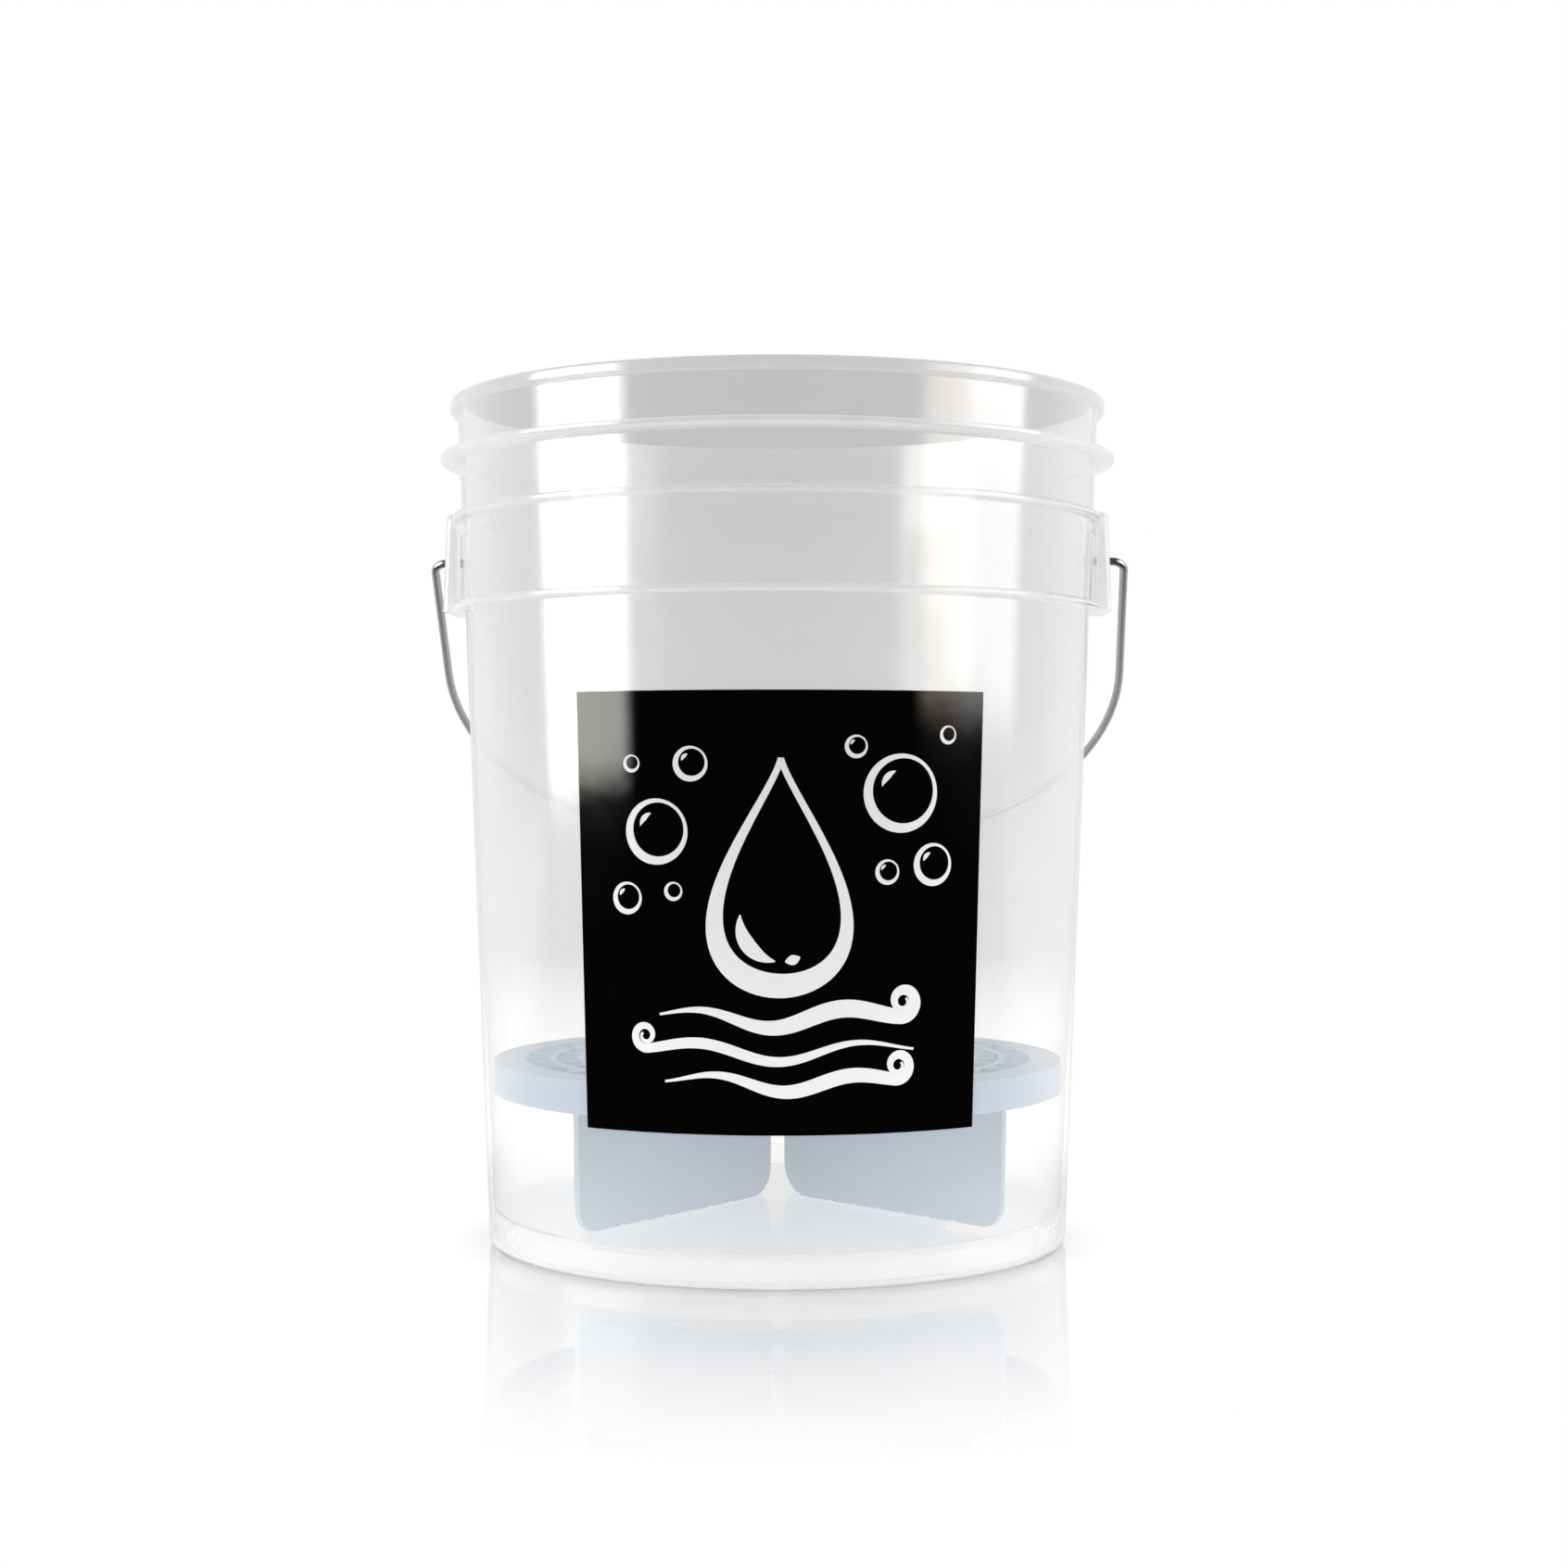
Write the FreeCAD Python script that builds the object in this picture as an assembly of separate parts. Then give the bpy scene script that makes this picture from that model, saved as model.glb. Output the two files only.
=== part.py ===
import FreeCAD, Part
import math
import os

# A wash bucket of the 20 litre class with a wire bail, a lift-out grit guard and a front label.
# Millimetres, +Z up. The origin is the centre of the base ring, on the surface that the bucket stands on.
# The label faces -Y, the bail ears are at -X and +X, and the bail rests behind the bucket, on the +Y side.

# Bucket wall: a cone that widens upwards
HEIGHT = 385.7
BASE_OUTER_R = 133.0      # outer radius of the cone where it meets the ground plane
TAPER = 0.0389            # growth of the radius per millimetre of height
WALL = 2.3

# Base ring and floor
REST_INNER_R = 126.4
BASE_CORNER_R = 4.0
HOOK_CORNER_R = 1.7
FLOOR_EDGE_TOP = 14.6     # the floor rises a little towards the middle
FLOOR_MIDDLE_TOP = 20.1
FLOOR_MIDDLE_R = 16.0
FLOOR_T = 2.4
FLOOR_FILLET = 3.0

# Rolled rim
RIM_OUTER_R = 151.2
RIM_DEPTH = 5.6
RIM_ROUND = 1.6
RIM_INNER_ROUND = 0.7

# Collar flanges: height of the underside at the wall and its rise to the edge, thickness at the wall and at the
# edge, and outer radius
FLANGES = (
    {"under": 289.6, "rise": 0.3, "root": 3.2, "edge": 2.6, "radius": 150.2},
    {"under": 330.3, "rise": 0.3, "root": 3.2, "edge": 2.6, "radius": 150.2},
    {"under": 356.3, "rise": 1.7, "root": 4.4, "edge": 2.4, "radius": 155.6},
)
FLANGE_ROOT_FILLET = 0.6
FLANGE_EDGE_FILLET = 0.9

# Bail ears, between the two lower flanges
EAR_LOW_Z = 289.6
EAR_TOP_Z = 334.6
EAR_LOW_X = 153.4
EAR_TOP_X = 151.6
EAR_HALF_WIDTH = 22.0
EAR_CORNER_R = 3.0
EAR_CORE_X = 138.0
EAR_POCKET_OFFSET = 13.0  # centre of a side pocket from the middle of the ear
EAR_POCKET_WIDTH = 11.0
EAR_POCKET_LOW_Z = 296.0
EAR_POCKET_TOP_Z = 328.0
EAR_POCKET_DEPTH = 4.2
EAR_POCKET_CORNER_R = 1.5
EAR_HOLE_BOTTOM_X = 146.4
EAR_HOLE_CHAMFER = 0.5

# Bail wire
PIVOT_Z = 313.6
WIRE_R = 1.9
WIRE_HOLE_CLEARANCE = 0.08
WIRE_END_X = 147.0
WIRE_END_CHAMFER = 0.5
LEG_X = 160.8             # where the leg's line crosses the pivot axis
LEG_SPLAY_DEG = 2.3
EAR_BEND_R = 6.0
BOW_R = 120.0
BAIL_DEPTH = 199.7        # from the pivot axis to the straight middle
BAIL_REST_DEG = 49.5      # lean of the resting bail, from hanging straight down towards the back

# Hand grip on the bail
GRIP_LENGTH = 86.0
GRIP_R = 12.3
GRIP_WAIST_R = 11.3
GRIP_BORE_R = 2.2
GRIP_END_BAND = 6.0
GRIP_GROOVES = 7
GRIP_GROOVE_PITCH = 8.0
GRIP_GROOVE_R = 1.2
GRIP_GROOVE_SINK = 0.5
GRIP_ROUND = 1.2

# Grit guard
GUARD_R = 131.5
GUARD_TOP_Z = 84.0
GUARD_BAND_LOW_Z = 69.0
GUARD_BAND_T = 2.6
GUARD_PLATE_T = 4.0
GUARD_EDGE_ROUND = 1.0
SOLID_BORDER_R = 117.0    # inside this radius the plate is a grid
HUB_R = 15.0
RING_PITCH = 12.75
RING_WIDTH = 3.0
INNER_RIBS = 16
OUTER_RIBS = 32
RIB_WIDTH = 2.6
RIB_SPLIT_R = HUB_R + 3 * RING_PITCH
VANE_COUNT = 4
VANE_T = 3.0
VANE_INNER_R = 6.5
VANE_TOP_OUTER_R = 131.0
VANE_FOOT_OUTER_R = 129.4
VANE_FOOT_INNER_Z = 20.6  # the foot's line rests on the middle of the floor and clears it further out
VANE_FOOT_OUTER_Z = 17.7
VANE_INNER_CORNER_R = 13.0
VANE_OUTER_CORNER_R = 10.0
VANE_NOTCH_PITCH = 14.0
VANE_NOTCH_R = 1.2
VANE_NOTCHES = 6
GUARD_TURN_DEG = 6.0      # how far the loose guard is turned in the bucket

# Front label
LABEL_LOW_Z = 65.0
LABEL_TOP_Z = 249.2
LABEL_HALF_ANGLE_DEG = 36.9
LABEL_OFFSET_DEG = 2.9    # the label sits a little to the right of the middle between the ears
LABEL_T = 0.2

X_AXIS = FreeCAD.Vector(1, 0, 0)
Z_AXIS = FreeCAD.Vector(0, 0, 1)
ORIGIN = FreeCAD.Vector(0, 0, 0)
PIVOT = FreeCAD.Vector(0, 0, PIVOT_Z)


def wall_radius(z):
    """Outer radius of the bucket wall at a height."""
    return BASE_OUTER_R + TAPER * z


def rounded_path(corners, closed):
    """A wire in the XZ plane through corners (x, z, radius), each corner with a tangent arc of its radius."""
    points = [FreeCAD.Vector(x, 0, z) for x, z, _ in corners]
    count = len(points)
    edges = []
    first = start = None
    turning = range(count) if closed else range(1, count - 1)
    if not closed:
        start = points[0]
    for i in turning:
        corner, radius = points[i], corners[i][2]
        back = (points[i - 1] - corner).normalize()
        ahead = (points[(i + 1) % count] - corner).normalize()
        if radius > 0:
            half = back.getAngle(ahead) / 2
            reach = radius / math.tan(half)
            middle = corner + (back + ahead).normalize() * (radius / math.sin(half) - radius)
            enter, leave = corner + back * reach, corner + ahead * reach
        else:
            enter = leave = corner
        if start is None:
            first = enter
        elif start.distanceToPoint(enter) > 1e-6:
            edges.append(Part.LineSegment(start, enter).toShape())
        if radius > 0:
            edges.append(Part.Arc(enter, middle, leave).toShape())
        start = leave
    last = first if closed else points[-1]
    if start.distanceToPoint(last) > 1e-6:
        edges.append(Part.LineSegment(start, last).toShape())
    return Part.Wire(edges)


def turned(corners, degrees=360, start_degrees=0):
    """A solid of revolution about Z from a closed outline of (radius, z, corner radius)."""
    face = Part.Face(rounded_path(corners, closed=True))
    face.rotate(ORIGIN, Z_AXIS, start_degrees)
    return face.revolve(ORIGIN, Z_AXIS, degrees)


def prism(corners, thickness):
    """An upright plate, centred on the XZ plane, from a closed outline of (x, z, corner radius)."""
    face = Part.Face(rounded_path(corners, closed=True))
    face.translate(FreeCAD.Vector(0, -thickness / 2, 0))
    return face.extrude(FreeCAD.Vector(0, thickness, 0))


def ring(inner, outer, low, high):
    """A flat ring between two radii and two heights."""
    body = Part.makeCylinder(outer, high - low, FreeCAD.Vector(0, 0, low))
    return body.cut(Part.makeCylinder(inner, high - low, FreeCAD.Vector(0, 0, low)))


def flange_corners(flange):
    """The outline of one collar flange, from its underside at the wall round to its top at the wall."""
    low, high = flange["under"], flange["under"] + flange["root"]
    edge_low = low + flange["rise"]
    return [
        (wall_radius(low), low, FLANGE_ROOT_FILLET),
        (flange["radius"], edge_low, FLANGE_EDGE_FILLET),
        (flange["radius"], edge_low + flange["edge"], FLANGE_EDGE_FILLET),
        (wall_radius(high), high, FLANGE_ROOT_FILLET),
    ]


def shell_outline():
    """The half section of the bucket, from the base ring up the outside and down the inside."""
    rim_low = HEIGHT - RIM_DEPTH
    skirt_r = wall_radius(BASE_CORNER_R) - WALL
    floor_under = FLOOR_EDGE_TOP - FLOOR_T
    outside = [
        (REST_INNER_R, 0, 0),
        (wall_radius(0), 0, BASE_CORNER_R),
    ]
    for flange in FLANGES:
        outside += flange_corners(flange)
    outside += [
        (wall_radius(rim_low), rim_low, FLANGE_ROOT_FILLET),
        (RIM_OUTER_R, rim_low, RIM_ROUND),
        (RIM_OUTER_R, HEIGHT, RIM_ROUND),
        (wall_radius(HEIGHT) - WALL, HEIGHT, RIM_INNER_ROUND),
    ]
    inside = [
        (wall_radius(FLOOR_EDGE_TOP) - WALL, FLOOR_EDGE_TOP, FLOOR_FILLET),
        (FLOOR_MIDDLE_R, FLOOR_MIDDLE_TOP, 0),
        (0, FLOOR_MIDDLE_TOP, 0),
        (0, FLOOR_MIDDLE_TOP - FLOOR_T, 0),
        (FLOOR_MIDDLE_R, FLOOR_MIDDLE_TOP - FLOOR_T, 0),
        (wall_radius(floor_under) - WALL, floor_under, FLANGE_ROOT_FILLET),
        (skirt_r, WALL, HOOK_CORNER_R),
        (REST_INNER_R, WALL, 0),
    ]
    return outside + inside


def ear_pocket(side):
    """The recess on one side of the ear's middle boss, seen from the +X side."""
    height = EAR_POCKET_TOP_Z - EAR_POCKET_LOW_Z
    start = FreeCAD.Vector(
        EAR_TOP_X - EAR_POCKET_DEPTH, side * EAR_POCKET_OFFSET - EAR_POCKET_WIDTH / 2, EAR_POCKET_LOW_Z
    )
    pocket = Part.makeBox(EAR_LOW_X, EAR_POCKET_WIDTH, height, start)
    return pocket.makeFillet(EAR_POCKET_CORNER_R, edges_along(pocket, X_AXIS))


def edges_along(shape, direction):
    """The straight edges of a shape that run along a direction."""
    found = []
    for edge in shape.Edges:
        if isinstance(edge.Curve, Part.Line) and edge.Curve.Direction.cross(direction).Length < 1e-3:
            found.append(edge)
    return found


def ear():
    """The bail ear on the +X side: a block on the wall with two side pockets and a blind hole for the wire."""
    face_at_pivot = EAR_LOW_X + (EAR_TOP_X - EAR_LOW_X) * (PIVOT_Z - EAR_LOW_Z) / (EAR_TOP_Z - EAR_LOW_Z)
    block = prism(
        [
            (EAR_CORE_X, EAR_LOW_Z, 0),
            (EAR_LOW_X, EAR_LOW_Z, 0),
            (EAR_TOP_X, EAR_TOP_Z, EAR_CORNER_R),
            (EAR_CORE_X, EAR_TOP_Z, 0),
        ],
        2 * EAR_HALF_WIDTH,
    )
    slope = FreeCAD.Vector(EAR_TOP_X - EAR_LOW_X, 0, EAR_TOP_Z - EAR_LOW_Z).normalize()
    outer_edges = [e for e in edges_along(block, slope) if e.BoundBox.XMin > EAR_CORE_X]
    block = block.makeFillet(EAR_CORNER_R, outer_edges)
    for side in (-1, 1):
        block = block.cut(ear_pocket(side))
    hole_r = WIRE_R + WIRE_HOLE_CLEARANCE
    hole = Part.makeCylinder(hole_r, EAR_LOW_X, FreeCAD.Vector(EAR_HOLE_BOTTOM_X, 0, PIVOT_Z), X_AXIS)
    mouth = Part.makeCone(
        hole_r, hole_r + 2 * EAR_HOLE_CHAMFER, 2 * EAR_HOLE_CHAMFER,
        FreeCAD.Vector(face_at_pivot - EAR_HOLE_CHAMFER, 0, PIVOT_Z), X_AXIS,
    )
    return block.cut(hole).cut(mouth)


def bucket_shell():
    """The bucket: wall, rim, flanges, ears, floor and base ring in one moulding."""
    shell = turned(shell_outline())
    inside = turned(
        [
            (0, FLOOR_EDGE_TOP, 0),
            (wall_radius(FLOOR_EDGE_TOP) - WALL, FLOOR_EDGE_TOP, 0),
            (wall_radius(HEIGHT) - WALL, HEIGHT, 0),
            (0, HEIGHT, 0),
        ]
    )
    right = ear().cut(inside)
    left = right.copy()
    left.rotate(ORIGIN, Z_AXIS, 180)
    return shell.fuse([right, left]).removeSplitter()


def bail_wire():
    """The wire bail: two ends that turn inwards into the ears, two splayed legs and a wide bow."""
    splay = math.radians(LEG_SPLAY_DEG)
    bow_x = LEG_X + BAIL_DEPTH * math.tan(splay)
    centre_line = rounded_path(
        [
            (WIRE_END_X, PIVOT_Z, 0),
            (LEG_X, PIVOT_Z, EAR_BEND_R),
            (bow_x, PIVOT_Z - BAIL_DEPTH, BOW_R),
            (-bow_x, PIVOT_Z - BAIL_DEPTH, BOW_R),
            (-LEG_X, PIVOT_Z, EAR_BEND_R),
            (-WIRE_END_X, PIVOT_Z, 0),
        ],
        closed=False,
    )
    start = FreeCAD.Vector(WIRE_END_X, 0, PIVOT_Z)
    section = Part.Wire(Part.makeCircle(WIRE_R, start, X_AXIS))
    wire = centre_line.makePipeShell([section], True, False)
    ends = [e for e in wire.Edges if abs(abs(e.CenterOfMass.x) - WIRE_END_X) < 1e-3 and e.Closed]
    wire = wire.makeChamfer(WIRE_END_CHAMFER, ends)
    wire.rotate(PIVOT, X_AXIS, BAIL_REST_DEG)
    return wire


def bail_grip():
    """The hand grip: a barrel with end bands and shallow grooves, bored for the wire."""
    half = GRIP_LENGTH / 2
    barrel = turned(
        [
            (GRIP_BORE_R, -half, 0),
            (GRIP_R, -half, GRIP_ROUND),
            (GRIP_R, -half + GRIP_END_BAND, GRIP_ROUND),
            (GRIP_WAIST_R, -half + GRIP_END_BAND + GRIP_ROUND, GRIP_ROUND),
            (GRIP_WAIST_R, half - GRIP_END_BAND - GRIP_ROUND, GRIP_ROUND),
            (GRIP_R, half - GRIP_END_BAND, GRIP_ROUND),
            (GRIP_R, half, GRIP_ROUND),
            (GRIP_BORE_R, half, 0),
        ]
    )
    first = -(GRIP_GROOVES - 1) * GRIP_GROOVE_PITCH / 2
    groove_centre_r = GRIP_WAIST_R + GRIP_GROOVE_R - GRIP_GROOVE_SINK
    for i in range(GRIP_GROOVES):
        z = first + i * GRIP_GROOVE_PITCH
        barrel = barrel.cut(Part.makeTorus(groove_centre_r, GRIP_GROOVE_R, FreeCAD.Vector(0, 0, z)))
    barrel.rotate(ORIGIN, FreeCAD.Vector(0, 1, 0), 90)
    barrel.translate(FreeCAD.Vector(0, 0, PIVOT_Z - BAIL_DEPTH))
    barrel.rotate(PIVOT, X_AXIS, BAIL_REST_DEG)
    return barrel


def guard_border():
    """The guard's plate border with the band that hangs from its edge."""
    plate_under = GUARD_TOP_Z - GUARD_PLATE_T
    return turned(
        [
            (SOLID_BORDER_R, plate_under, 0),
            (GUARD_R - GUARD_BAND_T, plate_under, GUARD_EDGE_ROUND),
            (GUARD_R - GUARD_BAND_T, GUARD_BAND_LOW_Z, GUARD_EDGE_ROUND),
            (GUARD_R, GUARD_BAND_LOW_Z, GUARD_EDGE_ROUND),
            (GUARD_R, GUARD_TOP_Z, GUARD_EDGE_ROUND),
            (SOLID_BORDER_R, GUARD_TOP_Z, 0),
        ]
    )


def guard_rib(angle, inner, outer):
    """One radial rib of the grid."""
    rib = Part.makeBox(
        outer - inner, RIB_WIDTH, GUARD_PLATE_T, FreeCAD.Vector(inner, -RIB_WIDTH / 2, GUARD_TOP_Z - GUARD_PLATE_T)
    )
    rib.rotate(ORIGIN, Z_AXIS, angle)
    return rib


def guard_grid():
    """The grid inside the border: a hub, rings, and ribs that double in number past the third ring."""
    under = GUARD_TOP_Z - GUARD_PLATE_T
    bars = [Part.makeCylinder(HUB_R, GUARD_PLATE_T, FreeCAD.Vector(0, 0, under))]
    radius = HUB_R + RING_PITCH
    while radius < SOLID_BORDER_R - RING_WIDTH:
        bars.append(ring(radius - RING_WIDTH / 2, radius + RING_WIDTH / 2, under, GUARD_TOP_Z))
        radius += RING_PITCH
    overlap = RING_WIDTH / 2
    for i in range(OUTER_RIBS):
        inner = HUB_R - overlap if i % (OUTER_RIBS // INNER_RIBS) == 0 else RIB_SPLIT_R - overlap / 2
        bars.append(guard_rib(i * 360 / OUTER_RIBS, inner, SOLID_BORDER_R + overlap))
    return bars


def guard_vane():
    """One vane below the grid, along +X, with small notches along its foot."""
    top = GUARD_TOP_Z - GUARD_PLATE_T / 2
    vane = prism(
        [
            (VANE_INNER_R, top, 0),
            (VANE_INNER_R, VANE_FOOT_INNER_Z, VANE_INNER_CORNER_R),
            (VANE_FOOT_OUTER_R, VANE_FOOT_OUTER_Z, VANE_OUTER_CORNER_R),
            (VANE_TOP_OUTER_R, top, 0),
        ],
        VANE_T,
    )
    fall = (VANE_FOOT_INNER_Z - VANE_FOOT_OUTER_Z) / (VANE_FOOT_OUTER_R - VANE_INNER_R)
    for i in range(VANE_NOTCHES):
        reach = VANE_INNER_CORNER_R + (i + 1) * VANE_NOTCH_PITCH
        start = FreeCAD.Vector(VANE_INNER_R + reach, -VANE_T, VANE_FOOT_INNER_Z - fall * reach)
        vane = vane.cut(Part.makeCylinder(VANE_NOTCH_R, 2 * VANE_T, start, FreeCAD.Vector(0, 1, 0)))
    return vane


def grit_guard():
    """The insert: a round grid with an edge band, on four vanes, in one moulding."""
    pieces = guard_grid()
    for i in range(VANE_COUNT):
        vane = guard_vane()
        vane.rotate(ORIGIN, Z_AXIS, (i + 0.5) * 360 / VANE_COUNT)
        pieces.append(vane)
    guard = guard_border().fuse(pieces).removeSplitter()
    guard.rotate(ORIGIN, Z_AXIS, GUARD_TURN_DEG)
    return guard


def front_label():
    """The label: a thin sheet on the wall, between two generators of the cone."""
    return turned(
        [
            (wall_radius(LABEL_LOW_Z), LABEL_LOW_Z, 0),
            (wall_radius(LABEL_LOW_Z) + LABEL_T, LABEL_LOW_Z, 0),
            (wall_radius(LABEL_TOP_Z) + LABEL_T, LABEL_TOP_Z, 0),
            (wall_radius(LABEL_TOP_Z), LABEL_TOP_Z, 0),
        ],
        2 * LABEL_HALF_ANGLE_DEG,
        -90 + LABEL_OFFSET_DEG - LABEL_HALF_ANGLE_DEG,
    )


def main():
    os.makedirs("parts", exist_ok=True)
    for make in (bucket_shell, bail_wire, bail_grip, grit_guard, front_label):
        solid = make()
        solid.exportStep(f"parts/{make.__name__}.step")
        print(make.__name__, "solids", len(solid.Solids), "valid", solid.isValid(), "mm3", round(solid.Volume))


main()
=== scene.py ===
import math

import bpy
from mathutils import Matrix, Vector


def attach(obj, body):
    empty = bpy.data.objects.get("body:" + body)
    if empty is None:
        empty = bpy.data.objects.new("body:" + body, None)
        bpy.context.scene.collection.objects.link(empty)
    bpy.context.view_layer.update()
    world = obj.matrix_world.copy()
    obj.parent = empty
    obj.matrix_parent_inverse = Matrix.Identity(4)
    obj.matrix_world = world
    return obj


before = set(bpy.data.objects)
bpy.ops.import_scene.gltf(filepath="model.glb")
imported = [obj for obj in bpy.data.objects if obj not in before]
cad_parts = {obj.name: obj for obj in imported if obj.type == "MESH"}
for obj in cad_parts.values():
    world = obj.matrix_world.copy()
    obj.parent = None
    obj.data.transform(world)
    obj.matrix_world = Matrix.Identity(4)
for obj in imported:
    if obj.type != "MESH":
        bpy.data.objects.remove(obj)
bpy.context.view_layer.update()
scene = bpy.context.scene

MM = 0.001

# Camera: level, a little to the right of the label, and as far away as the perspective says
CAMERA_DISTANCE = 1.2
CAMERA_HEIGHT = 0.2104
CAMERA_AZIMUTH_DEG = 2.2
CAMERA_SIDE_STEP = 0.003
CAMERA_LENS_MM = 59.13
SENSOR_MM = 36.0

# Studio: what each kind of ray sees
BACKDROP_WHITE = 1.0
BACKDROP_THROUGH = 0.49    # what shows through the plastic is the studio's pale grey wall, not the cut-out white
HORIZON_THROUGH = 0.62
# Painted pool of light: the table seen through the plastic glows brightest near the bucket and fades outwards
TABLE_THROUGH = 1.9
FRONT_AMBIENT = 0.50
BACK_AMBIENT = 0.90
FRONT_GLOSS = 0.01
BACK_GLOSS = 0.85
GLOSS_TURN = (0.1, 0.6)        # where the world turns from front to back, by its Y direction
AMBIENT_TURN = (-0.8, 0.4)
HORIZON_BAND = (-0.04, 0.06)   # the horizon, by the Z direction
SEEN_THROUGH = 0.5             # a ray has passed more faces than this when it has gone through any plastic

# Floor: a white table whose mirror image of the bucket fades outwards
FLOOR_HALF_SIZE = 4.0
TABLE_TINT = (1.0, 0.965, 0.925)   # the table's warm white, as it shows through the plastic
FLOOR_BOUNCE = 0.50
FLOOR_NEAR_BOUNCE = 2.4   # the table in the lights' pool, near the bucket
FLOOR_UNDER_BOUNCE = 1.8  # under the bucket
MIRROR_MOST = 0.78
MIRROR_NEAR_R = 0.13
MIRROR_FAR_R = 0.40
MIRROR_FALL = 1.2
MIRROR_FROM_ABOVE = 0.15   # the mirror's share of itself when looked down on
MIRROR_SLOPE = (0.3, 0.7)  # from looked down on to grazing, by Layer Weight's Facing
SECOND_GLOSS = 0.15        # what is left of the softboxes in the floor's image of the plastic
POOL_FADE = (0.2, 0.55)    # radii over which the near table fades into the rest
UNDER_EDGE = (0.125, 0.14) # radii at the edge of the bucket's base
TABLE_FADE = (0.2, 2.0)
FLOOR_GLOSS_TURN = (-0.05, 0.25)
CONTACT_REACH = 0.018
CONTACT_DARKEST = 0.22

# Shell plastic, at each of a wall's two faces
SHELL_VEIL = 0.19
THICK_VEIL = 0.65
EAR_VEIL = 0.95
FOOT_VEIL = 0.30
FOOT_BAND = (15 * MM, 19 * MM)        # heights over which the foot's veil becomes the wall's
THICK_BAND = (0.4 * MM, 6.0 * MM)     # how far out a point stands, from plain wall to thickest flange
FAR_VEIL = 0.30            # the far wall, whose shape is lost in the haze of the near one
SHELL_TRANSLUCENCY = 0.5
EAR_TRANSLUCENCY = 0.85
GLOSS_HEAD_ON = 0.05
HAZED_GLOSS = 0.2          # what is left of the far flanges' gloss through the haze of the walls
FAR_WALL_FACES = 1.5       # a ray has passed more faces than this when it reaches the far wall
FAR_FLANGE_FACES = 2.5
SCHLICK_POWER = 5.0
FLOW_BUMP = 0.03 * MM

# Bail ears: how far out, sideways and up their points are looked for
EAR_FACE_R = 0.1508
EAR_REACH = 0.030
EAR_HIGHEST = 0.340
EAR_STAND_OFF = 0.3 * MM

# Softboxes
PANEL_DISTANCE = 1.3
PANEL_STEPS = 16
PANEL_GAIN_BAND = (0.22, 0.32)  # shares of a panel's height over which its top gain sets in
SECOND_BOUNCE = 1.5             # glossy bounces above this are a second reflection

# Label print
INK_T = 0.15 * MM


# ---------------------------------------------------------------- materials


def new_material(name):
    """A material with one Principled shader, and its node tree."""
    material = bpy.data.materials.new(name)
    material.use_nodes = True
    tree = material.node_tree
    return material, tree, tree.nodes["Principled BSDF"]


def add(tree, kind, **values):
    """A new node with its properties and its inputs set by name."""
    node = tree.nodes.new(kind)
    for key, value in values.items():
        if key in node.inputs:
            node.inputs[key].default_value = value
        else:
            setattr(node, key, value)
    return node


def object_noise(tree, scale, detail=3.0, stretch=(1, 1, 1)):
    """Noise in the object's own space, in features per metre, stretched along its axes."""
    coordinates = add(tree, "ShaderNodeTexCoord")
    mapping = add(tree, "ShaderNodeMapping")
    mapping.inputs["Scale"].default_value = stretch
    noise = add(tree, "ShaderNodeTexNoise", Scale=scale, Detail=detail)
    tree.links.new(coordinates.outputs["Object"], mapping.inputs["Vector"])
    tree.links.new(mapping.outputs["Vector"], noise.inputs["Vector"])
    return noise.outputs["Fac"]


def ramp(tree, factor, low, high, start=0.3, end=0.7, clamp=True):
    """A value that goes from low to high, numbers or sockets, as a factor goes from start to end."""
    node = add(tree, "ShaderNodeMapRange", clamp=clamp)
    for key, value in (("From Min", start), ("From Max", end), ("To Min", low), ("To Max", high)):
        feed(tree, node.inputs[key], value)
    tree.links.new(factor, node.inputs["Value"])
    return node.outputs["Result"]


def feed(tree, socket, value):
    """Sets a socket to a number, or links another socket to it."""
    if isinstance(value, float):
        socket.default_value = value
    else:
        tree.links.new(value, socket)


def tint(tree, factor, first, second):
    """A colour between two, by a factor."""
    mix = tree.nodes.new("ShaderNodeMix")
    mix.data_type = "RGBA"
    colours = [s for s in mix.inputs if s.type == "RGBA"]
    colours[0].default_value = (*first, 1)
    colours[1].default_value = (*second, 1)
    tree.links.new(factor, mix.inputs[0])
    return [s for s in mix.outputs if s.type == "RGBA"][0]


def bump(tree, shader, height, depth, strength=1.0):
    """Bump of a real depth, in metres, on a shader."""
    node = add(tree, "ShaderNodeBump", Strength=strength, Distance=depth)
    tree.links.new(height, node.inputs["Height"])
    tree.links.new(node.outputs["Normal"], shader.inputs["Normal"])


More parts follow.
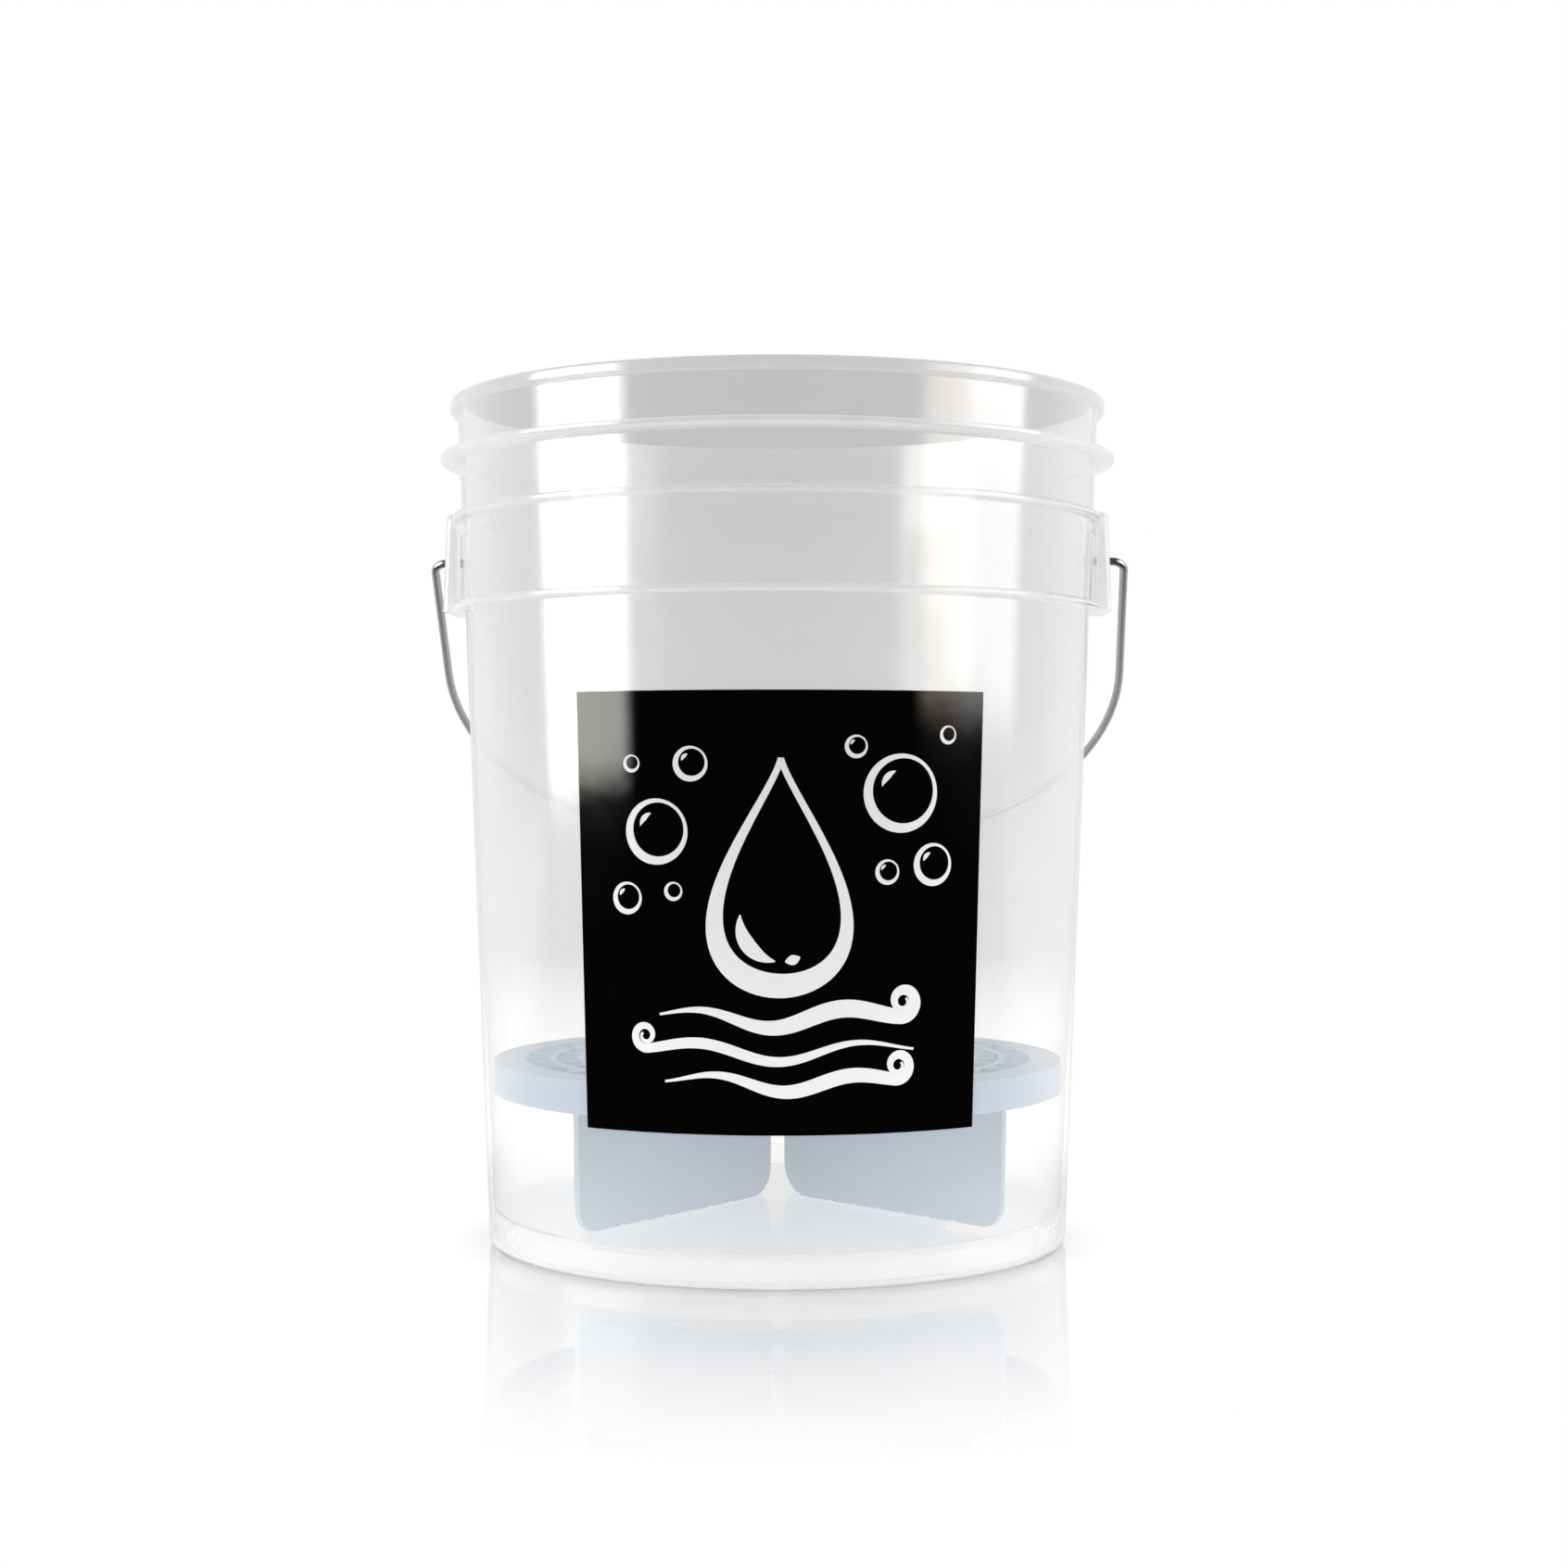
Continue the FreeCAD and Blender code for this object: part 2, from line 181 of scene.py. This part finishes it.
def shell_plastic():
    """Natural polypropylene: milky and see-through, whiter where it is thick, with a gloss and faint flow lines."""
    material, tree, shader = new_material("shell_plastic")
    cloud = object_noise(tree, 9.0, 2.0, (1, 1, 0.5))
    flow = object_noise(tree, 60.0, 3.0, (1, 1, 0.06))
    milk = tint(tree, cloud, (0.90, 0.905, 0.91), (0.95, 0.952, 0.955))
    tree.links.new(milk, shader.inputs["Base Color"])
    shader.inputs["Roughness"].default_value = 0.4
    shader.inputs["Specular IOR Level"].default_value = 0.0
    glow = add(tree, "ShaderNodeBsdfTranslucent")
    tree.links.new(milk, glow.inputs["Color"])
    ear = ear_zone(tree)
    translucency = switch(tree, ear, SHELL_TRANSLUCENCY, EAR_TRANSLUCENCY)
    scatter = mix_shaders(tree, translucency, shader.outputs[0], glow.outputs[0])
    clear = add(tree, "ShaderNodeBsdfTransparent")
    place = add(tree, "ShaderNodeTexCoord")
    height = add(tree, "ShaderNodeSeparateXYZ")
    tree.links.new(place.outputs["Object"], height.inputs["Vector"])
    foot = ramp(tree, height.outputs["Z"], FOOT_VEIL, SHELL_VEIL, *FOOT_BAND)
    thick = ramp(tree, stand_off(tree), foot, THICK_VEIL, *THICK_BAND)
    light_path = add(tree, "ShaderNodeLightPath")
    veil = switch(tree, deeper(tree, light_path, FAR_WALL_FACES), thick, FAR_VEIL)
    veil = switch(tree, ear, veil, EAR_VEIL)
    body = mix_shaders(tree, veil, clear.outputs[0], scatter)
    gloss = add(tree, "ShaderNodeBsdfGlossy", Color=(1, 1, 1, 1))
    tree.links.new(ramp(tree, flow, 0.10, 0.16), gloss.inputs["Roughness"])
    ripple = add(tree, "ShaderNodeBump", Distance=FLOW_BUMP)
    tree.links.new(flow, ripple.inputs["Height"])
    tree.links.new(ripple.outputs["Normal"], gloss.inputs["Normal"])
    mirrored = gloss_share(tree)
    far_side = deeper(tree, light_path, FAR_FLANGE_FACES)
    share = switch(tree, far_side, mirrored, times(tree, mirrored, HAZED_GLOSS))
    surface = mix_shaders(tree, share, body, gloss.outputs[0])
    tree.links.new(surface, tree.nodes["Material Output"].inputs["Surface"])
    return material


def stand_off(tree):
    """How far a point stands out from the bucket's wall, in metres: the flanges, the rim and the ears are thick."""
    coordinates = add(tree, "ShaderNodeTexCoord")
    split = add(tree, "ShaderNodeSeparateXYZ")
    tree.links.new(coordinates.outputs["Object"], split.inputs["Vector"])
    flat = add(tree, "ShaderNodeVectorMath", operation="MULTIPLY")
    flat.inputs[1].default_value = (1, 1, 0)
    tree.links.new(coordinates.outputs["Object"], flat.inputs[0])
    length = add(tree, "ShaderNodeVectorMath", operation="LENGTH")
    tree.links.new(flat.outputs[0], length.inputs[0])
    wall = ramp(tree, split.outputs["Z"], LABEL_LOW_R, LABEL_HIGH_R, LABEL_LOW, LABEL_HIGH, clamp=False)
    gap = add(tree, "ShaderNodeMath", operation="SUBTRACT")
    tree.links.new(length.outputs["Value"], gap.inputs[0])
    tree.links.new(wall, gap.inputs[1])
    return gap.outputs[0]


def ear_zone(tree):
    """1 inside the bail ears, which stand out from the wall below the top flange."""
    coordinates = add(tree, "ShaderNodeTexCoord")
    off = add(tree, "ShaderNodeVectorMath", operation="SUBTRACT")
    off.inputs[1].default_value = (0, 0, EAR_MIDDLE_Z)
    tree.links.new(coordinates.outputs["Object"], off.inputs[0])
    size = add(tree, "ShaderNodeVectorMath", operation="ABSOLUTE")
    tree.links.new(off.outputs[0], size.inputs[0])
    split = add(tree, "ShaderNodeSeparateXYZ")
    tree.links.new(size.outputs[0], split.inputs["Vector"])
    inside = None
    for value, kind, limit in (
        (split.outputs["Y"], "LESS_THAN", EAR_HALF_WIDTH),
        (split.outputs["Z"], "LESS_THAN", EAR_HALF_HEIGHT),
        (stand_off(tree), "GREATER_THAN", EAR_STAND_OFF),
    ):
        test = add(tree, "ShaderNodeMath", operation=kind)
        test.inputs[1].default_value = limit
        tree.links.new(value, test.inputs[0])
        inside = test.outputs[0] if inside is None else times(tree, inside, test.outputs[0])
    return inside


def times(tree, first, second):
    """The product of two values, each a number or a socket."""
    node = add(tree, "ShaderNodeMath", operation="MULTIPLY")
    feed(tree, node.inputs[0], first)
    feed(tree, node.inputs[1], second)
    return node.outputs[0]


def raised(tree, value, exponent):
    """A value to a power."""
    node = add(tree, "ShaderNodeMath", operation="POWER")
    feed(tree, node.inputs[0], value)
    feed(tree, node.inputs[1], exponent)
    return node.outputs[0]


def above(tree, value, limit):
    """1 where a value is greater than a limit."""
    node = add(tree, "ShaderNodeMath", operation="GREATER_THAN")
    feed(tree, node.inputs[0], value)
    feed(tree, node.inputs[1], limit)
    return node.outputs[0]


def gloss_share(tree):
    """Schlick's share of mirrored light for plastic, the same on both sides of a face."""
    facing = add(tree, "ShaderNodeLayerWeight", Blend=0.5)
    fall = raised(tree, facing.outputs["Facing"], SCHLICK_POWER)
    return ramp(tree, fall, GLOSS_HEAD_ON, 1.0, 0.0, 1.0)


def mix_shaders(tree, share, first, second):
    """A mix of two shaders, by the share of the second, a number or a socket."""
    mix = add(tree, "ShaderNodeMixShader")
    feed(tree, mix.inputs[0], share)
    tree.links.new(first, mix.inputs[1])
    tree.links.new(second, mix.inputs[2])
    return mix.outputs[0]


def guard_plastic():
    """The guard's moulded polypropylene in slate blue with a fine grain."""
    material, tree, shader = new_material("guard_plastic")
    grain = object_noise(tree, 900.0, 2.0)
    cloud = object_noise(tree, 25.0, 2.0)
    slate = tint(tree, cloud, (0.47, 0.565, 0.675), (0.51, 0.61, 0.72))
    tree.links.new(slate, shader.inputs["Base Color"])
    tree.links.new(ramp(tree, cloud, 0.38, 0.50), shader.inputs["Roughness"])
    bump(tree, shader, grain, 0.02 * MM)
    return material


def label_vinyl():
    """The label's black gloss vinyl, with the slight waviness of a laid sheet."""
    material, tree, shader = new_material("label_vinyl")
    wave = object_noise(tree, 22.0, 3.0)
    black = tint(tree, wave, (0.0006, 0.0006, 0.0007), (0.0012, 0.0012, 0.0014))
    tree.links.new(black, shader.inputs["Base Color"])
    tree.links.new(ramp(tree, wave, 0.05, 0.09), shader.inputs["Roughness"])
    bump(tree, shader, wave, 0.10 * MM)
    return material


def label_ink():
    """White print with the slight unevenness of a screen print."""
    material, tree, shader = new_material("label_ink")
    grain = object_noise(tree, 1500.0, 2.0)
    tree.links.new(tint(tree, grain, (0.76, 0.76, 0.76), (0.80, 0.80, 0.80)), shader.inputs["Base Color"])
    tree.links.new(ramp(tree, grain, 0.35, 0.5), shader.inputs["Roughness"])
    return material


def bail_steel():
    """Galvanised drawn wire: a soft metal sheen with fine spangle."""
    material, tree, shader = new_material("bail_steel")
    spangle = object_noise(tree, 350.0, 4.0)
    cloud = object_noise(tree, 40.0, 3.0)
    tree.links.new(tint(tree, spangle, (0.42, 0.42, 0.415), (0.56, 0.56, 0.55)), shader.inputs["Base Color"])
    tree.links.new(ramp(tree, cloud, 0.26, 0.42), shader.inputs["Roughness"])
    bump(tree, shader, spangle, 0.02 * MM)
    shader.inputs["Metallic"].default_value = 1.0
    return material


def grip_plastic():
    """The grip's natural white polypropylene, with a satin grain."""
    material, tree, shader = new_material("grip_plastic")
    grain = object_noise(tree, 700.0, 2.0)
    cloud = object_noise(tree, 30.0, 2.0)
    tree.links.new(tint(tree, cloud, (0.80, 0.81, 0.81), (0.87, 0.87, 0.86)), shader.inputs["Base Color"])
    tree.links.new(ramp(tree, cloud, 0.32, 0.45), shader.inputs["Roughness"])
    bump(tree, shader, grain, 0.03 * MM)
    return material


def dress(node, material):
    """Gives a CAD node one material."""
    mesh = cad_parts[node].data
    mesh.materials.clear()
    mesh.materials.append(material)


# ---------------------------------------------------------------- label print


def label_frame():
    """The label's outer face: middle direction, middle height, and radius at a height."""
    points = [v.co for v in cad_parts["front_label"].data.vertices]
    directions = [math.atan2(p.y, p.x) for p in points]
    low, high = min(p.z for p in points), max(p.z for p in points)
    low_r = max(p.xy.length for p in points if p.z < low + MM)
    high_r = max(p.xy.length for p in points if p.z > high - MM)
    middle = (min(directions) + max(directions)) / 2
    return middle, low, high, low_r, high_r


LABEL_DIRECTION, LABEL_LOW, LABEL_HIGH, LABEL_LOW_R, LABEL_HIGH_R = label_frame()
LABEL_MIDDLE = (LABEL_LOW + LABEL_HIGH) / 2
LABEL_MIDDLE_R = (LABEL_LOW_R + LABEL_HIGH_R) / 2


def on_label(u, v, proud):
    """The point at (u, v) metres from the label's middle, standing proud of its face."""
    z = LABEL_MIDDLE + v
    share = (z - LABEL_LOW) / (LABEL_HIGH - LABEL_LOW)
    radius = LABEL_LOW_R + (LABEL_HIGH_R - LABEL_LOW_R) * share + proud
    angle = LABEL_DIRECTION + u / LABEL_MIDDLE_R
    return Vector((radius * math.cos(angle), radius * math.sin(angle), z))


def stroke(line, widths, closed=False, proud=INK_T):
    """Vertices and faces of a flat pen stroke along a line of (u, v) points, a closed solid on the label."""
    count = len(line)
    vertices, faces = [], []
    for i, point in enumerate(line):
        before = line[i - 1] if closed or i > 0 else point
        after = line[(i + 1) % count] if closed or i < count - 1 else point
        along = (after - before).normalized()
        side = Vector((-along.y, along.x)) * widths[i] / 2
        for edge in (point + side, point - side):
            vertices.append(on_label(edge.x, edge.y, proud))
            vertices.append(on_label(edge.x, edge.y, 0))
    spans = count if closed else count - 1
    for i in range(spans):
        a, b = 4 * i, 4 * ((i + 1) % count)
        faces += [
            (a, a + 2, b + 2, b),
            (a + 1, b + 1, b + 3, a + 3),
            (a, b, b + 1, a + 1),
            (a + 2, a + 3, b + 3, b + 2),
        ]
    if not closed:
        last = 4 * (count - 1)
        faces += [(0, 1, 3, 2), (last, last + 2, last + 3, last + 1)]
    return vertices, faces


def print_piece(name, strokes):
    """One print piece made of strokes, riding on the bucket with the label."""
    vertices, faces = [], []
    for more_vertices, more_faces in strokes:
        start = len(vertices)
        vertices += more_vertices
        faces += [tuple(start + i for i in face) for face in more_faces]
    mesh = bpy.data.meshes.new(name)
    mesh.from_pydata(vertices, [], faces)
    mesh.validate()
    piece = bpy.data.objects.new(name, mesh)
    scene.collection.objects.link(piece)
    mesh.materials.append(INK)
    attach(piece, "bucket")
    return piece


def swell(share, thin, thick, power=1.0):
    """The width of a pen stroke at a share of its length: thin at the ends, thick in the middle."""
    return thin + (thick - thin) * math.sin(math.pi * share) ** power


def curve_points(shape, count):
    """Points of a curve given as a function of the share of its length."""
    return [Vector(shape(i / (count - 1))) for i in range(count)]


def ring_stroke(u, v, radius, thin, thick, lean_deg=225):
    """A bubble's outline, thickest towards one side."""
    count = 48
    line, widths = [], []
    for i in range(count):
        angle = 2 * math.pi * i / count
        line.append(Vector((u + radius * math.cos(angle), v + radius * math.sin(angle))))
        widths.append(thin + (thick - thin) * (0.5 + 0.5 * math.cos(angle - math.radians(lean_deg))))
    return stroke(line, widths, closed=True)


def arc_stroke(u, v, radius, start_deg, end_deg, thin, thick):
    """A tapered arc."""
    def shape(share):
        angle = math.radians(start_deg + (end_deg - start_deg) * share)
        return u + radius * math.cos(angle), v + radius * math.sin(angle)
    count = max(12, int(abs(end_deg - start_deg) / 5))
    line = curve_points(shape, count)
    return stroke(line, [swell(i / (count - 1), thin, thick) for i in range(count)])


def drop_print():
    """A large water drop drawn with a broad pen, with a highlight inside."""
    count, middle, half_height, width = 96, 17 * MM, 47 * MM, 40 * MM
    line, widths = [], []
    for i in range(count):
        turn = 2 * math.pi * (i + 0.5) / count
        u = width * math.sin(turn) * math.sin(turn / 2) ** 1.6
        line.append(Vector((u, middle + half_height * math.cos(turn))))
        low = (1 - math.cos(turn)) / 2
        widths.append((2.6 + 8.0 * low ** 1.5 * (0.62 + 0.38 * math.cos(turn - math.radians(215)))) * MM)
    strokes = [stroke(line, widths, closed=True)]
    strokes.append(arc_stroke(0, -3 * MM, 17 * MM, 172, 262, 0.5 * MM, 6.5 * MM))
    strokes.append(arc_stroke(0, -3 * MM, 17 * MM, 276, 298, 0.5 * MM, 4.2 * MM))
    return print_piece("print_drop", strokes)


BUBBLES = (
    (-52, 34, 12.5, 2.8),
    (-37, 62, 6.5, 1.9),
    (-66, 6, 6.0, 1.8),
    (-63, 62, 3.2, 1.2),
    (-45, 9, 3.4, 1.3),
    (51, 50, 15.0, 3.2),
    (31, 69, 4.2, 1.4),
    (66, 20, 8.0, 2.2),
    (45, 17, 4.6, 1.5),
    (72, 74, 3.4, 1.2),
)


def bubble_print():
    """Soap bubbles on both sides of the drop, the larger ones with a highlight."""
    strokes = []
    for u, v, radius, pen in BUBBLES:
        u, v, radius, pen = u * MM, v * MM, radius * MM, 1.35 * pen * MM
        strokes.append(ring_stroke(u, v, radius, 0.35 * pen, pen))
        if radius > 4 * MM:
            strokes.append(arc_stroke(u, v, 0.62 * radius, 110, 165, 0.3 * MM, 0.6 * pen))
    return print_piece("print_bubbles", strokes)


def wave_stroke(level, reach, height, crests, lead, pen, curl, curl_side):
    """A wave line that ends in a curl on one side."""
    def shape(share):
        u = -reach + 2 * reach * share
        fade = 0.35 + 0.65 * math.sin(math.pi * share)
        return u, level + height * fade * math.sin(2 * math.pi * crests * share + lead)
    wave = curve_points(shape, 110)
    end, inner = (wave[-1], wave[-2]) if curl_side > 0 else (wave[0], wave[1])
    heading = (end - inner).normalized()
    turn = 1 if curl_side > 0 else -1
    centre = end + Vector((-heading.y, heading.x)) * curl * turn
    begin = math.atan2(end.y - centre.y, end.x - centre.x)
    curl_points = []
    for i in range(1, 52):
        share = i / 51
        radius = curl * (1 - 0.72 * share)
        angle = begin + turn * share * math.radians(500)
        curl_points.append(centre + Vector((radius * math.cos(angle), radius * math.sin(angle))))
    line = wave + curl_points if curl_side > 0 else list(reversed(curl_points)) + wave
    count = len(line)
    widths = [swell(i / (count - 1), 1.0 * MM, pen, 1.3) for i in range(count)]
    return stroke(line, widths)


def wave_print():
    """Three waves under the drop."""
    rows = (
        (-43 * MM, 52 * MM, 4.5 * MM, 1.5, 0.4, 7.4 * MM, 6.5 * MM, 1),
        (-57 * MM, 58 * MM, 4.5 * MM, 1.5, 0.1, 4.6 * MM, 5.5 * MM, -1),
        (-70 * MM, 50 * MM, 4.0 * MM, 1.5, -0.2, 6.2 * MM, 6.0 * MM, 1),
    )
    return print_piece("print_waves", [wave_stroke(*row) for row in rows])


def ear_frame():
    """The bail ears: half width, middle height and half height, from the shell's points that stand out furthest."""
    points = [v.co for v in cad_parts["bucket_shell"].data.vertices]
    ears = [p for p in points if abs(p.x) > EAR_FACE_R and abs(p.y) < EAR_REACH and p.z < EAR_HIGHEST]
    low, high = min(p.z for p in ears), max(p.z for p in ears)
    return max(abs(p.y) for p in ears), (low + high) / 2, (high - low) / 2


EAR_HALF_WIDTH, EAR_MIDDLE_Z, EAR_HALF_HEIGHT = ear_frame()


# ---------------------------------------------------------------- studio


def studio_world():
    """White for the camera and the floor's mirror, a soft ambient for diffuse light, dark in front for gloss."""
    world = bpy.data.worlds.new("studio")
    scene.world = world
    world.use_nodes = True
    world.cycles.sampling_method = "NONE"
    tree = world.node_tree
    background = tree.nodes["Background"]
    background.inputs["Color"].default_value = (1, 1, 1, 1)
    path = add(tree, "ShaderNodeLightPath")
    coordinates = add(tree, "ShaderNodeTexCoord")
    split = add(tree, "ShaderNodeSeparateXYZ")
    tree.links.new(coordinates.outputs["Generated"], split.inputs["Vector"])
    gloss = ramp(tree, split.outputs["Y"], FRONT_GLOSS, BACK_GLOSS, *GLOSS_TURN)
    ambient = ramp(tree, split.outputs["Y"], FRONT_AMBIENT, BACK_AMBIENT, *AMBIENT_TURN)
    level = switch(tree, path.outputs["Is Glossy Ray"], ambient, gloss)
    sweep = ramp(tree, split.outputs["Z"], HORIZON_THROUGH, BACKDROP_THROUGH, *HORIZON_BAND)
    seen = switch(tree, deeper(tree, path, SEEN_THROUGH), BACKDROP_WHITE, sweep)
    level = switch(tree, path.outputs["Is Singular Ray"], level, seen)
    level = switch(tree, path.outputs["Is Camera Ray"], level, seen)
    tree.links.new(level, background.inputs["Strength"])


def deeper(tree, path, faces):
    """1 for a ray that has passed through more faces of see-through plastic than this."""
    return above(tree, path.outputs["Transparent Depth"], faces)


def switch(tree, choice, off, on):
    """A value that is off or on by a choice of 0 or 1; each is a number or a socket."""
    mix = tree.nodes.new("ShaderNodeMix")
    mix.data_type = "FLOAT"
    tree.links.new(choice, mix.inputs[0])
    feed(tree, mix.inputs[2], off)
    feed(tree, mix.inputs[3], on)
    return mix.outputs[0]


def floor():
    """The white table, with a mirror image that fades outwards and a soft contact shadow."""
    size = FLOOR_HALF_SIZE
    mesh = bpy.data.meshes.new("floor")
    corners = [(-size, -size, 0), (size, -size, 0), (size, size, 0), (-size, size, 0)]
    mesh.from_pydata(corners, [], [(0, 1, 2, 3)])
    table = bpy.data.objects.new("floor", mesh)
    scene.collection.objects.link(table)
    table.location.z = -0.05 * MM
    material = bpy.data.materials.new("white_table")
    material.use_nodes = True
    material.cycles.emission_sampling = "NONE"
    mesh.materials.append(material)
    tree = material.node_tree
    tree.nodes.clear()
    output = add(tree, "ShaderNodeOutputMaterial")
    path = add(tree, "ShaderNodeLightPath")
    coordinates = add(tree, "ShaderNodeTexCoord")
    split = add(tree, "ShaderNodeSeparateXYZ")
    tree.links.new(coordinates.outputs["Object"], split.inputs["Vector"])
    length = add(tree, "ShaderNodeVectorMath", operation="LENGTH")
    tree.links.new(coordinates.outputs["Object"], length.inputs[0])
    near = ramp(tree, length.outputs["Value"], 1.0, 0.0, MIRROR_NEAR_R, MIRROR_FAR_R)
    mirror_share = times(tree, raised(tree, near, MIRROR_FALL), MIRROR_MOST)
    slope = add(tree, "ShaderNodeLayerWeight", Blend=0.5)
    grazing = ramp(tree, slope.outputs["Facing"], MIRROR_FROM_ABOVE, 1.0, *MIRROR_SLOPE)
    occlusion = add(tree, "ShaderNodeAmbientOcclusion", Distance=CONTACT_REACH)
    shade = ramp(tree, occlusion.outputs["AO"], CONTACT_DARKEST, 1.0, 0.0, 1.0)
    pool = ramp(tree, length.outputs["Value"], FLOOR_NEAR_BOUNCE, FLOOR_BOUNCE, *POOL_FADE)
    outside = ramp(tree, length.outputs["Value"], 0.0, 1.0, *UNDER_EDGE)
    bounce = switch(tree, outside, FLOOR_UNDER_BOUNCE, pool)
    gloss = ramp(tree, split.outputs["Y"], FRONT_GLOSS, BACK_GLOSS, *FLOOR_GLOSS_TURN)
    level = switch(tree, path.outputs["Is Glossy Ray"], bounce, gloss)
    # Painted pool of light on the table as seen through the plastic, brightest near the bucket
    table_seen = ramp(tree, length.outputs["Value"], TABLE_THROUGH, HORIZON_THROUGH, *TABLE_FADE)
    through = deeper(tree, path, SEEN_THROUGH)
    seen = switch(tree, through, BACKDROP_WHITE, table_seen)
    level = switch(tree, path.outputs["Is Camera Ray"], level, seen)
    lit = times(tree, level, switch(tree, through, shade, 1.0))
    glow = add(tree, "ShaderNodeEmission")
    tree.links.new(tint(tree, through, (1.0, 1.0, 1.0), TABLE_TINT), glow.inputs["Color"])
    tree.links.new(lit, glow.inputs["Strength"])
    mirror = add(tree, "ShaderNodeBsdfGlossy", Roughness=0.0, Color=(1, 1, 1, 1))
    both = mix_shaders(tree, times(tree, mirror_share, grazing), glow.outputs[0], mirror.outputs[0])
    tree.links.new(both, output.inputs["Surface"])


def softbox(name, start_deg, end_deg, low, high, strength, colour=(1, 1, 1), glossy=True,
            soft=(0.02, 0.02, 0.02, 0.02), top_gain=1.0):
    """A curved light panel round the object between two azimuths from the camera's side, right is positive.
    It lights either gloss or diffuse surfaces. Its start, end, low and high edges fade over a share of its size, and
    its top is brighter by top_gain. A mirror ray sees in it what it would see without it."""
    mesh = bpy.data.meshes.new(name)
    vertices, faces, corners = [], [], []
    for i in range(PANEL_STEPS + 1):
        share = i / PANEL_STEPS
        angle = math.radians(-90 + CAMERA_AZIMUTH_DEG + start_deg + (end_deg - start_deg) * share)
        for z, v in ((low, 0), (high, 1)):
            vertices.append((PANEL_DISTANCE * math.cos(angle), PANEL_DISTANCE * math.sin(angle), z))
            corners.append((share, v))
    for i in range(PANEL_STEPS):
        faces.append((2 * i, 2 * i + 1, 2 * i + 3, 2 * i + 2))
    mesh.from_pydata(vertices, [], faces)
    layer = mesh.uv_layers.new(name="panel")
    for loop in mesh.loops:
        layer.data[loop.index].uv = corners[loop.vertex_index]
    panel = bpy.data.objects.new(name, mesh)
    scene.collection.objects.link(panel)
    panel.visible_camera = panel.visible_transmission = False
    panel.visible_volume_scatter = panel.visible_shadow = False
    panel.visible_glossy = glossy
    panel.visible_diffuse = not glossy
    material = bpy.data.materials.new(name)
    material.use_nodes = True
    mesh.materials.append(material)
    tree = material.node_tree
    tree.nodes.clear()
    output = add(tree, "ShaderNodeOutputMaterial")
    place = add(tree, "ShaderNodeUVMap", uv_map="panel")
    split = add(tree, "ShaderNodeSeparateXYZ")
    tree.links.new(place.outputs["UV"], split.inputs["Vector"])
    level = None
    edges = (("X", 0.0, soft[0]), ("X", 1.0, -soft[1]), ("Y", 0.0, soft[2]), ("Y", 1.0, -soft[3]))
    for axis, edge, fade in edges:
        part = add(tree, "ShaderNodeMapRange", interpolation_type="SMOOTHSTEP")
        part.inputs["From Min"].default_value = edge
        part.inputs["From Max"].default_value = edge + fade
        tree.links.new(split.outputs[axis], part.inputs["Value"])
        level = part.outputs["Result"] if level is None else times(tree, level, part.outputs["Result"])
    path = add(tree, "ShaderNodeLightPath")
    mirrored = path.outputs["Is Singular Ray"]
    again = above(tree, path.outputs["Glossy Depth"], SECOND_BOUNCE)
    level = times(tree, level, switch(tree, again, 1.0, SECOND_GLOSS))
    level = switch(tree, mirrored, level, 1.0)
    glow = add(tree, "ShaderNodeEmission")
    tree.links.new(tint(tree, mirrored, colour, (1.0, 1.0, 1.0)), glow.inputs["Color"])
    power = ramp(tree, split.outputs["Y"], float(strength), strength * top_gain, *PANEL_GAIN_BAND)
    behind = switch(tree, deeper(tree, path, SEEN_THROUGH), BACKDROP_WHITE, BACKDROP_THROUGH)
    tree.links.new(switch(tree, mirrored, power, behind), glow.inputs["Strength"])
    clear = add(tree, "ShaderNodeBsdfTransparent")
    tree.links.new(mix_shaders(tree, level, clear.outputs[0], glow.outputs[0]), output.inputs["Surface"])


def studio_lights():
    """Tall softboxes at the sides, seen in the gloss, with a warm one at the right, and the soft light of each side."""
    softbox("gloss_left", -88, -49, 0.120, 1.2, 8.0, colour=(1.0, 1.0, 0.93), soft=(0.02, 0.18, 0.04, 0.02))
    softbox("gloss_right", 58, 92, 0.180, 1.2, 3.6, colour=(1.0, 0.97, 0.93), soft=(0.35, 0.03, 0.04, 0.02),
            top_gain=1.8)
    softbox("warm_right", 46, 72, 0.180, 1.2, 3.2, colour=(1.0, 0.86, 0.74), soft=(0.3, 0.4, 0.04, 0.02))
    softbox("light_left", -115, -45, 0.0, 0.6, 2.9, glossy=False)
    softbox("light_right", 45, 115, 0.0, 0.6, 2.9, glossy=False)


def studio_camera():
    """The camera, level, at the front."""
    azimuth = math.radians(CAMERA_AZIMUTH_DEG)
    ahead = Vector((-math.sin(azimuth), math.cos(azimuth), 0))
    right = Vector((math.cos(azimuth), math.sin(azimuth), 0))
    data = bpy.data.cameras.new("camera")
    data.lens, data.sensor_width = CAMERA_LENS_MM, SENSOR_MM
    camera = bpy.data.objects.new("camera", data)
    scene.collection.objects.link(camera)
    camera.location = right * CAMERA_SIDE_STEP - ahead * CAMERA_DISTANCE + Vector((0, 0, CAMERA_HEIGHT))
    camera.rotation_euler = (math.radians(90), 0, azimuth)
    scene.camera = camera


INK = label_ink()

dress("bucket_shell", shell_plastic())
dress("front_label", label_vinyl())
dress("bail_wire", bail_steel())
dress("bail_grip", grip_plastic())
dress("grit_guard", guard_plastic())

drop_print()
bubble_print()
wave_print()

studio_world()
floor()
studio_lights()
studio_camera()

scene.view_settings.view_transform = "Standard"
scene.cycles.transparent_max_bounces = 48
